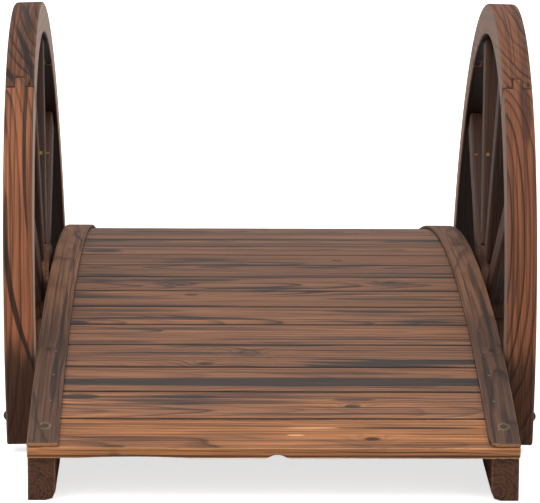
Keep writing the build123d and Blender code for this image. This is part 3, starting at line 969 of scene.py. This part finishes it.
@dataclass
class Stringers:
    """Two boards on edge, sawn to the arch, whose ends are the feet."""

    arch: Arch = field(default_factory=Arch)
    thickness: float = 30.0
    outer_x: float = 263.9
    setback: float = 8.6
    plank_thickness: float = 13.0
    foot_length: float = 120.0
    arch_height: float = 50.0
    nominal: float = 80.0
    board_middle: float = 60.0
    grid: tuple[Spacing, Spacing, Spacing] = ((14.0, 3.0), (9.0, 3.0), (13.0, 4.0))
    sole_wear_reach: Size = (3000.0, 11.0, 11.0)
    sole_wear_push: Spacing = (3.2, 3.0)
    wear: Wear = Wear(face=0.2, edge=0.9, size=24.0, ease=1.8)
    # Stringers: sawn boards of darker fir with wider rings, little rubbed.
    finish: TorchedFir = TorchedFir(
        "torched_fir_stringer", early="#6a4229", late="#2e1b12", honey="#7e5034", ring_mm=4.6, edge_wear_and_highlight=0.2,
        slot="stringer")

    def heights(self, y: Points) -> tuple[Points, Points]:
        """Underside and top of the stringer at each Y, in mm.

        Args:
            y: places along the bridge, in mm.

        Returns:
            Heights of the underside and of the top.
        """
        arch = self.arch
        top_radius = arch.radius - self.plank_thickness
        top = arch.centre_z + np.sqrt(top_radius ** 2 - y ** 2)
        foot = arch.length / 2 - self.setback - self.foot_length
        low_radius = (foot ** 2 + self.arch_height ** 2) / (2 * self.arch_height)
        under = self.arch_height - low_radius + np.sqrt(low_radius ** 2 - np.minimum(np.abs(y), foot) ** 2)
        return np.maximum(under, 0.0), top

    def build(self) -> None:
        """Build both stringers."""
        end = self.arch.length / 2 - self.setback
        middle = self.outer_x - self.thickness / 2
        for side in Side:
            mesh = block_mesh(
                lines(-end, end, *self.grid[0]),
                lines(-self.thickness / 2, self.thickness / 2, *self.grid[1]),
                lines(0.0, self.nominal, *self.grid[2]), everywhere)

            def grain_of(p: Points) -> Points:
                """Board mm to straight sawn board mm.

                Args:
                    p: board places, in mm.

                Returns:
                    Grain places, in mm.
                """
                under, top = self.heights(p[:, 0])
                z = under + p[:, 2] / self.nominal * (top - under)
                return np.column_stack((p[:, 0], p[:, 1], z - self.board_middle))

            def place(p: Points, centre: float = side.value * middle) -> Points:
                """Board mm to its place on this side, in metres.

                Args:
                    p: board places, in mm.
                    centre: X of the stringer's middle, in mm.

                Returns:
                    World places, in metres.
                """
                flat = grain_of(p)
                height = flat[:, 2] + self.board_middle
                return np.column_stack((flat[:, 1] + centre, flat[:, 0], height)) * MM

            inner = -side.value * self.thickness / 2
            push = (0.0, self.sole_wear_push[0] * side.value, self.sole_wear_push[1])
            worn_sole = Chip((0.0, inner, 0.0), self.sole_wear_reach, push)
            cut = Cut(50 + side.value, -9.0, -50.0, 1.0, 0.22, 0.1, 0.01)
            node = f"stringer_{side.label}"
            wear = replace(self.wear, chips=(worn_sole,))
            piece = finish_board("sawn_" + node, mesh, place, grain_of, wear, cut.seed)
            dress(piece, node, self.finish, cut)


# ---------------------------------------------------------------- half wheels
@dataclass
class HalfWheel:
    """One half wagon wheel: three felloes, a two-piece hub and four spokes, leaning outward."""

    side: Side = Side.RIGHT
    foot_x: float = 264.0
    base_height: float = 10.8
    lean_degrees: float = 1.71
    outer_radius: float = 454.0
    radial_width: float = 38.5
    thickness: float = 34.5
    shoulder_degrees: float = 57.4
    tongue: float = 18.0
    joint_gap: float = 0.3
    hub_radius: float = 94.0
    hub_height: float = 57.0
    hub_seam: float = 76.0
    spoke_width: float = 36.0
    spoke_thickness: float = 23.0
    low_degrees: float = 33.2
    high_degrees: float = 69.7
    felloe_grid: Spacing = (10.0, 5.0)
    felloe_grid_degrees: Spacing = (1.6, 0.35)
    least_gap_degrees: float = 0.2
    felloe_board_middle: float = 0.94
    spoke_grid: tuple[Spacing, Spacing, Spacing] = ((13.0, 4.0), (8.0, 5.0), (8.0, 4.5))
    hub_grid: tuple[Spacing, Spacing, Spacing] = ((5.0, 2.0), (0.12, 0.05), (9.0, 4.0))
    hub_gap: float = 0.4
    hub_crown_turn: float = 1.2
    hub_crown_relief: float = 0.2
    hub_board_middle: float = 40.0
    felloe_wear: Wear = Wear(face=0.25, edge=1.2, size=34.0, ease=3.2, segments=3)
    spoke_wear: Wear = Wear(face=0.3, edge=0.9, size=28.0, ease=3.6, segments=3)
    hub_wear: Wear = Wear(face=0.2, edge=0.5, size=30.0, ease=0.02, segments=1)
    # Rims: sawn round from flat boards, so the rings sweep across them. Rings of 7.4 mm, and 9.5 mm on
    # the left, are drawn coarser than fir's 2 to 5 mm, so that the broad bands of a slab cut show.
    # Both side faces are blended towards grey as a painted grazing sheen, and a real sheen greys them further
    # at a low angle. Faces that look in towards the wheel's centre are darkened as painted shade, and the
    # eased edges are lightened partly as painted highlight.
    finish: TorchedFir = TorchedFir(
        "torched_fir_rim", early="#7d4b30", late="#20130c", scorch="#1d120c", honey="#935a38", worn="#7d6a5c",
        ring_mm=7.4, ring_strength=1.0, wander_mm=7.0, least_ring=0.35, soot=0.55, hair=0.75, inward=0.95,
        flank=0.7, edge_wear_and_highlight=0.3, slot="rim")
    # Spokes: spokeshaved bars whose narrow faces are darkened as painted shade, with eased edges lightened
    # partly as painted highlight.
    spoke_finish: TorchedFir = TorchedFir(
        "torched_fir_spoke", early="#5d3a27", late="#241610", honey="#7e4c30", worn="#7d6455", ring_mm=3.4,
        border=0.62, edge_wear_and_highlight=0.35, slot="spoke")
    # Hubs: thick blocks sawn to a round top, darker than the rims and rubbed at their edges.
    hub_finish: TorchedFir = TorchedFir(
        "torched_fir_hub", early="#533321", late="#20130d", honey="#6b4029", ring_mm=4.0, edge_wear_and_highlight=0.5,
        slot="hub")

    def stand(self, outward: Points, along: Points, up: Points) -> Points:
        """Wheel mm (from the inner face, along the bridge, up from the flat base) to world metres.

        Args:
            outward: distance from the inner face.
            along: place along the bridge.
            up: height above the flat base, in the leaning plane.

        Returns:
            World places, in metres.
        """
        lean = math.radians(self.lean_degrees)
        x = self.foot_x + outward * math.cos(lean) + up * math.sin(lean)
        z = self.base_height + up * math.cos(lean) - outward * math.sin(lean)
        return np.column_stack((x * self.side.value, along, z)) * MM

    def felloe(self, label: str, start: float, end: float, tongue_ends: tuple[bool, bool], cut: Cut) -> None:
        """Build one felloe between two angles, sawn from a straight board.

        Args:
            label: front, top or back.
            start: first angle from the back horizontal, in degrees, at the shoulder.
            end: last angle, at the other shoulder.
            tongue_ends: whether each end carries a tongue; the other ends of the top felloe are slotted.
            cut: the board it is sawn from.
        """
        outer, third = self.outer_radius, self.thickness / 3
        tongue = math.degrees(self.tongue / outer)
        gap = math.degrees(self.joint_gap / outer)
        slotted = label == "top"
        first = start - tongue if tongue_ends[0] and not slotted else start + (gap if slotted else 0.0)
        last = end + tongue if tongue_ends[1] and not slotted else end - (gap if slotted else 0.0)
        angles = lines(first, last, *self.felloe_grid_degrees)
        marks = [start, end]
        if slotted:
            marks = [start + tongue + gap, end - tongue - gap]
        angles = sorted({round(a, 4) for a in angles + marks})
        crowded = [a for a in angles if a not in [round(m, 4) for m in marks]
                   and any(0 < abs(a - m) < self.least_gap_degrees for m in marks)]
        angles = [a for a in angles if a not in crowded]
        mid_radius = outer - self.radial_width / 2
        along = [math.radians(a) * mid_radius for a in angles]
        bound = [math.radians(m) * mid_radius for m in marks]
        guard = self.felloe_grid[1]
        through = [0.0, guard, third, 2 * third, self.thickness - guard, self.thickness]

        def solid(s: float, _: float, v: float) -> bool:
            """Wood everywhere except beside the tongues or inside the slots.

            Args:
                s: place along the felloe, in mm.
                v: place through its thickness, in mm.

            Returns:
                True where there is wood.
            """
            inside_third = third < v < 2 * third
            beyond = s < bound[0] or s > bound[1]
            if not beyond:
                return True
            return not inside_third if slotted else inside_third

        half = self.radial_width / 2
        mesh = block_mesh(along, lines(-half, half, *self.felloe_grid), through, solid)
        chord = math.radians((max(start, 0.0) + min(end, 180.0)) / 2)

        def wheel_plane(p: Points) -> tuple[Points, Points]:
            """Board mm to along and up in the wheel's plane.

            Args:
                p: board places, in mm.

            Returns:
                Places along the bridge and heights, in mm.
            """
            angle = p[:, 0] / mid_radius
            radius = mid_radius + p[:, 1]
            return radius * np.cos(angle), radius * np.sin(angle)

        def place(p: Points) -> Points:
            """Board mm to world metres."""
            along_y, up = wheel_plane(p)
            return self.stand(p[:, 2], along_y, up)

        def grain_of(p: Points) -> Points:
            """Straight board coordinates: along the chord, out from the wheel's centre, and through.

            Args:
                p: board places, in mm.

            Returns:
                Grain places, in mm.
            """
            along_y, up = wheel_plane(p)
            out = along_y * math.cos(chord) + up * math.sin(chord)
            run = -along_y * math.sin(chord) + up * math.cos(chord)
            middle = outer * self.felloe_board_middle
            return np.column_stack((run, out - middle, p[:, 2] - self.thickness / 2))

        node = f"rim_felloe_{label}_{self.side.label}"
        piece = finish_board("sawn_" + node, mesh, place, grain_of, self.felloe_wear, cut.seed)
        left = self.side is Side.LEFT
        # The left rim's side faces take a paler grey: a lighter painted sheen than on the right.
        finish = replace(self.finish, sheen_grey="#c0ad9e", ring_mm=9.5) if left else self.finish
        dress(piece, node, finish, cut)

    def rim(self) -> None:
        """Build the three felloes."""
        shoulder = self.shoulder_degrees
        twist = self.side.value
        back = Cut(60 + twist, 34, 70 * twist, 0.9, 0.3, 0.2, 0.01)
        foot_end = math.pi * (self.outer_radius - self.radial_width / 2)
        if self.side is Side.LEFT:
            foot = (Streak(foot_end, 0, 115, 400, 0.8), Streak(1210, 23.2, 88, 3.4, 0.9, 2, -0.204, 0.00146),
                    Streak(1010, 10.5, 150, 2.4, 0.85, 2, 0.0, 0.0003), Streak(1130, 31, 60, 3.0, 0.8, 2))
            bands = (Streak(868, 11, 78, 4.4, 0.9, 2, -0.19), Streak(912, 28, 34, 4.4, 0.9, 2, -0.5),
                     Streak(756, 15, 70, 4.0, 0.7, 2, -0.12), Streak(600, 18, 90, 4.0, 0.7, 2, 0.12))
            top = Cut(63, 44, -58, 0.66, 0.42, 0.1, 0.02, (), bands)
            front = Cut(66, 30, 84, 1.2, 0.3, 0.45, 0.01, (), foot)
        else:
            foot = (Streak(foot_end, 0, 105, 400, 0.7), Streak(965, 24, 60, 7, 0.6, 2))
            top = Cut(67, 48, 62, 0.84, 0.3, 0.35, 0.03)
            front = Cut(68, 46, -60, 0.94, 0.40, 0.35, 0.02, (), foot)
        self.felloe("back", 0.0, shoulder, (False, True), back)
        self.felloe("top", shoulder, 180 - shoulder, (True, True), top)
        self.felloe("front", 180 - shoulder, 180.0, (True, False), front)

    def spokes(self) -> None:
        """Build the four spokes, coped to the hub and to the inside of the rim."""
        inner = self.outer_radius - self.radial_width
        low, high = self.low_degrees, self.high_degrees
        angles = {"back_low": low, "back_high": high, "front_high": 180 - high, "front_low": 180 - low}
        half = self.spoke_width / 2
        inset = (self.thickness - self.spoke_thickness) / 2
        for number, (label, degrees) in enumerate(angles.items()):
            turn = math.radians(degrees)
            sine, cosine = math.sin(turn), math.cos(turn)
            rise = self.hub_height * sine
            reach = -rise + math.sqrt(rise ** 2 + inner ** 2 - self.hub_height ** 2)
            nominal = reach - self.hub_radius
            mesh = block_mesh(
                lines(0.0, nominal, *self.spoke_grid[0]), lines(-half, half, *self.spoke_grid[1]),
                lines(0.0, self.spoke_thickness, *self.spoke_grid[2]), everywhere)

            def place(p: Points, sine: float = sine, cosine: float = cosine,
                      nominal: float = nominal) -> Points:
                """Board mm to world metres, with both ends coped to round surfaces.

                Args:
                    p: board places, in mm.
                    sine: sine of the spoke's angle.
                    cosine: cosine of the spoke's angle.
                    nominal: length of the board before it is coped.

                Returns:
                    World places, in metres.
                """
                u = p[:, 1]
                start = np.sqrt(self.hub_radius ** 2 - u ** 2)
                side_step = self.hub_height * sine
                lift = self.hub_height * cosine + u
                end = -side_step + np.sqrt(inner ** 2 - lift ** 2)
                s = start + p[:, 0] / nominal * (end - start)
                along_y = s * cosine - u * sine
                up = self.hub_height + s * sine + u * cosine
                return self.stand(p[:, 2] + inset, along_y, up)

            cut = Cut(70 + number + 5 * self.side.value, 14 - 9 * number, -40 + 6 * number, 0.92, 0.42, 0.15)
            node = f"spoke_{label}_{self.side.label}"
            piece = finish_board("shaved_" + node, mesh, place, lambda p: p, self.spoke_wear, cut.seed)
            dress(piece, node, self.spoke_finish, cut)

    def hub(self) -> None:
        """Build the two hub pieces, round above and flat below, glued at a level seam."""
        top = self.hub_height + self.hub_radius
        seam = self.hub_seam
        for label, low, high in (("lower", 0.0, seam - self.hub_gap), ("upper", seam, top)):
            least = math.asin((low - self.hub_height) / self.hub_radius)
            most = math.asin((high - self.hub_height) / self.hub_radius)
            mesh = block_mesh(
                lines(least * self.hub_radius, most * self.hub_radius, *self.hub_grid[0]),
                lines(-1.0, 1.0, *self.hub_grid[1]),
                lines(0.0, self.thickness, *self.hub_grid[2]), everywhere)

            def outline(p: Points, least: float = least, most: float = most) -> tuple[Points, Points]:
                """Height and along in the wheel's plane; the block runs round the hub and its width is 2.

                Args:
                    p: block places.
                    least: turn of the piece's underside, in radians.
                    most: turn of the piece's top, in radians.

                Returns:
                    Height and place along the bridge, in mm.
                """
                turn = np.clip(p[:, 0] / self.hub_radius, least, most)
                half = np.maximum(self.hub_radius * np.cos(turn), 1.0)
                relief = self.hub_crown_relief * (turn > self.hub_crown_turn)
                return self.hub_height + self.hub_radius * np.sin(turn) - relief, p[:, 1] * half

            def place(p: Points) -> Points:
                """Block to world metres."""
                up, along_y = outline(p)
                return self.stand(p[:, 2], along_y, up)

            def grain_of(p: Points) -> Points:
                """Grain runs level along the bridge."""
                up, along_y = outline(p)
                return np.column_stack((along_y, up - self.hub_board_middle, p[:, 2]))

            # The left hub is painted lighter and the right one darker: painted light and shade on one finish.
            tone = 1.4 if self.side is Side.LEFT else 0.8
            cut = Cut(90 + low * 0.1 + self.side.value, 20, -30, tone, 0.35, 0.2)
            node = f"hub_{label}_{self.side.label}"
            piece = finish_board("turned_" + node, mesh, place, grain_of, self.hub_wear, cut.seed)
            dress(piece, node, self.hub_finish, cut)

    def build(self) -> None:
        """Rim, hub and spokes of this side."""
        self.rim()
        self.hub()
        self.spokes()


# ---------------------------------------------------------------- fasteners
@dataclass
class Fasteners:
    """Bolts, washers, nuts, screws, nails and brads."""

    # Carriage bolts: forged steel with a black baked coat.
    black: Steel = Steel("black_coated_bolt_steel", "#141312", "#24211f", 0.38, 0.6)
    # Washers, nuts and deck nails: bright zinc plate with a faint spangle.
    zinc: Steel = Steel("zinc_plated_steel", "#b9b8b4", "#8f8e8b", 0.32)
    # Strip brads: thin zinc plate, browned by the stain that was brushed over it.
    weathered: Steel = Steel("weathered_zinc_brad", "#7d7268", "#5a5048", 0.5, 0.9)
    # Strip screws: yellow zinc plate under stain and soot, so nearly black.
    dulled: Steel = Steel("dulled_yellow_zinc_screw", "#4a4036", "#2c2520", 0.42, 0.9)
    # Spoke brads: brassy yellow zinc plate, still bright.
    bright: Steel = Steel("yellow_zinc_brad_steel", "#9a7442", "#664a25", 0.35)

    def build(self) -> None:
        """Give each kept fastener node its coating."""
        coats = {
            "wheel_bolts": self.black, "wheel_washers": self.zinc, "wheel_nuts": self.zinc,
            "strip_screws": self.dulled, "strip_brads": self.weathered, "deck_nails": self.zinc,
            "spoke_brads": self.bright,
        }
        made: dict = {}
        for node, steel in coats.items():
            if steel.name not in made:
                made[steel.name] = steel.material()
            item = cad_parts[node]
            item.data.materials.clear()
            item.data.materials.append(made[steel.name])
            LOG.info("%s: kept from the frame, %s", node, steel.name)


# ---------------------------------------------------------------- studio
@dataclass(frozen=True)
class Softbox:
    """A square light: its name, place and side in metres, and power in watts."""

    name: str
    place: Size
    size: float
    power: float


@dataclass
class Studio:
    """White floor and backdrop, soft lights and the camera in front of one end of the bridge."""

    camera_place: Size = (-0.0720, -4.3844, 0.9210)
    turn: float = 0.01794
    tilt: float = 0.17319
    roll: float = 0.00613
    lens_mm: float = 236.77
    sensor_mm: float = 36.0
    floor_size: float = 40.0
    horizon: float = 0.18
    zenith: float = 1.08
    sky_heights: Spacing = (-0.05, 0.75)
    floor_glow: float = 0.72
    floor_roughness: float = 0.9
    aim: Size = (0.0, 0.0, 0.15)
    far_limit: float = 100.0
    softboxes: tuple[Softbox, ...] = (
        Softbox("key_softbox", (-1.6, -2.2, 3.2), 2.2, 50.0),
        Softbox("fill_softbox", (2.4, -2.6, 2.2), 2.6, 21.0),
        Softbox("top_softbox", (0.0, 0.8, 3.6), 2.4, 26.0),
    )

    def camera(self) -> None:
        """Long lens at waist height, looking along the walkway and slightly down."""
        level = math.cos(self.tilt)
        ahead = Vector((math.sin(self.turn) * level, math.cos(self.turn) * level, -math.sin(self.tilt)))
        right = Vector((math.cos(self.turn), -math.sin(self.turn), 0.0))
        up = right.cross(ahead)
        across = right * math.cos(self.roll) + up * math.sin(self.roll)
        above = up * math.cos(self.roll) - right * math.sin(self.roll)
        data = bpy.data.cameras.new("camera")
        data.lens = self.lens_mm
        data.sensor_fit = "HORIZONTAL"
        data.sensor_width = self.sensor_mm
        data.clip_end = self.far_limit
        item = bpy.data.objects.new("camera", data)
        axes = Matrix((across, above, -ahead)).transposed().to_4x4()
        item.matrix_world = Matrix.Translation(self.camera_place) @ axes
        bpy.context.scene.collection.objects.link(item)
        bpy.context.scene.camera = item

    def light(self, box: Softbox) -> None:
        """Square softbox that looks at the middle of the bridge.

        Args:
            box: the light and where it stands.
        """
        data = bpy.data.lights.new(box.name, "AREA")
        data.shape = "SQUARE"
        data.size = box.size
        data.energy = box.power
        item = bpy.data.objects.new(box.name, data)
        item.location = box.place
        aim = Vector(self.aim) - Vector(box.place)
        item.rotation_euler = aim.to_track_quat("-Z", "Y").to_euler()
        bpy.context.scene.collection.objects.link(item)

    def floor(self) -> None:
        """Pale matt floor whose glow only camera rays see, so it lights nothing."""
        data = bpy.data.meshes.new("floor")
        half = self.floor_size / 2
        signs = ((-1, -1), (1, -1), (1, 1), (-1, 1))
        data.from_pydata([(half * x, half * y, 0) for x, y in signs], [], [(0, 1, 2, 3)])
        skin = empty_material("matt_white_floor_paint")
        tree = skin.node_tree
        glow = add(tree, Kind.MULTIPLY, add(tree, Kind.CAMERA_RAY), self.floor_glow)
        shader = add(tree, Kind.SHADER, links={
            "Base Color": linear("#f4f3f1"), "Roughness": self.floor_roughness,
            "Emission Color": linear("#ffffff"), "Emission Strength": glow,
        })
        add(tree, Kind.SURFACE, shader)
        item = bpy.data.objects.new("floor", data)
        item.data.materials.append(skin)
        bpy.context.scene.collection.objects.link(item)

    def world(self) -> None:
        """White backdrop; the light it gives falls off from overhead to the horizon."""
        world = bpy.data.worlds.new("white_studio")
        world.use_nodes = True
        tree = world.node_tree
        tree.nodes.clear()
        white = linear("#ffffff")
        height = add(tree, Kind.SPLIT, add(tree, Kind.SKY_DIRECTION)).node.outputs[2]
        fall = add(tree, Kind.RANGE, height, *self.sky_heights, self.horizon, self.zenith)
        soft = add(tree, Kind.BACKDROP, white, fall)
        plain = add(tree, Kind.BACKDROP, white, 1.0)
        both = add(tree, Kind.CHOOSE, add(tree, Kind.CAMERA_RAY), soft, plain)
        add(tree, Kind.WORLD, both)
        bpy.context.scene.world = world

    def build(self) -> None:
        """Camera, floor, surroundings and three softboxes."""
        self.camera()
        self.floor()
        self.world()
        for box in self.softboxes:
            self.light(box)
        bpy.context.scene.view_settings.view_transform = "Standard"


def main() -> None:
    """Build every sub-assembly in order."""
    Studio().build()
    Deck().build()
    Stringers().build()
    for side in Side:
        HalfWheel(side=side).build()
    Fasteners().build()


if __name__ == "__main__":
    main()
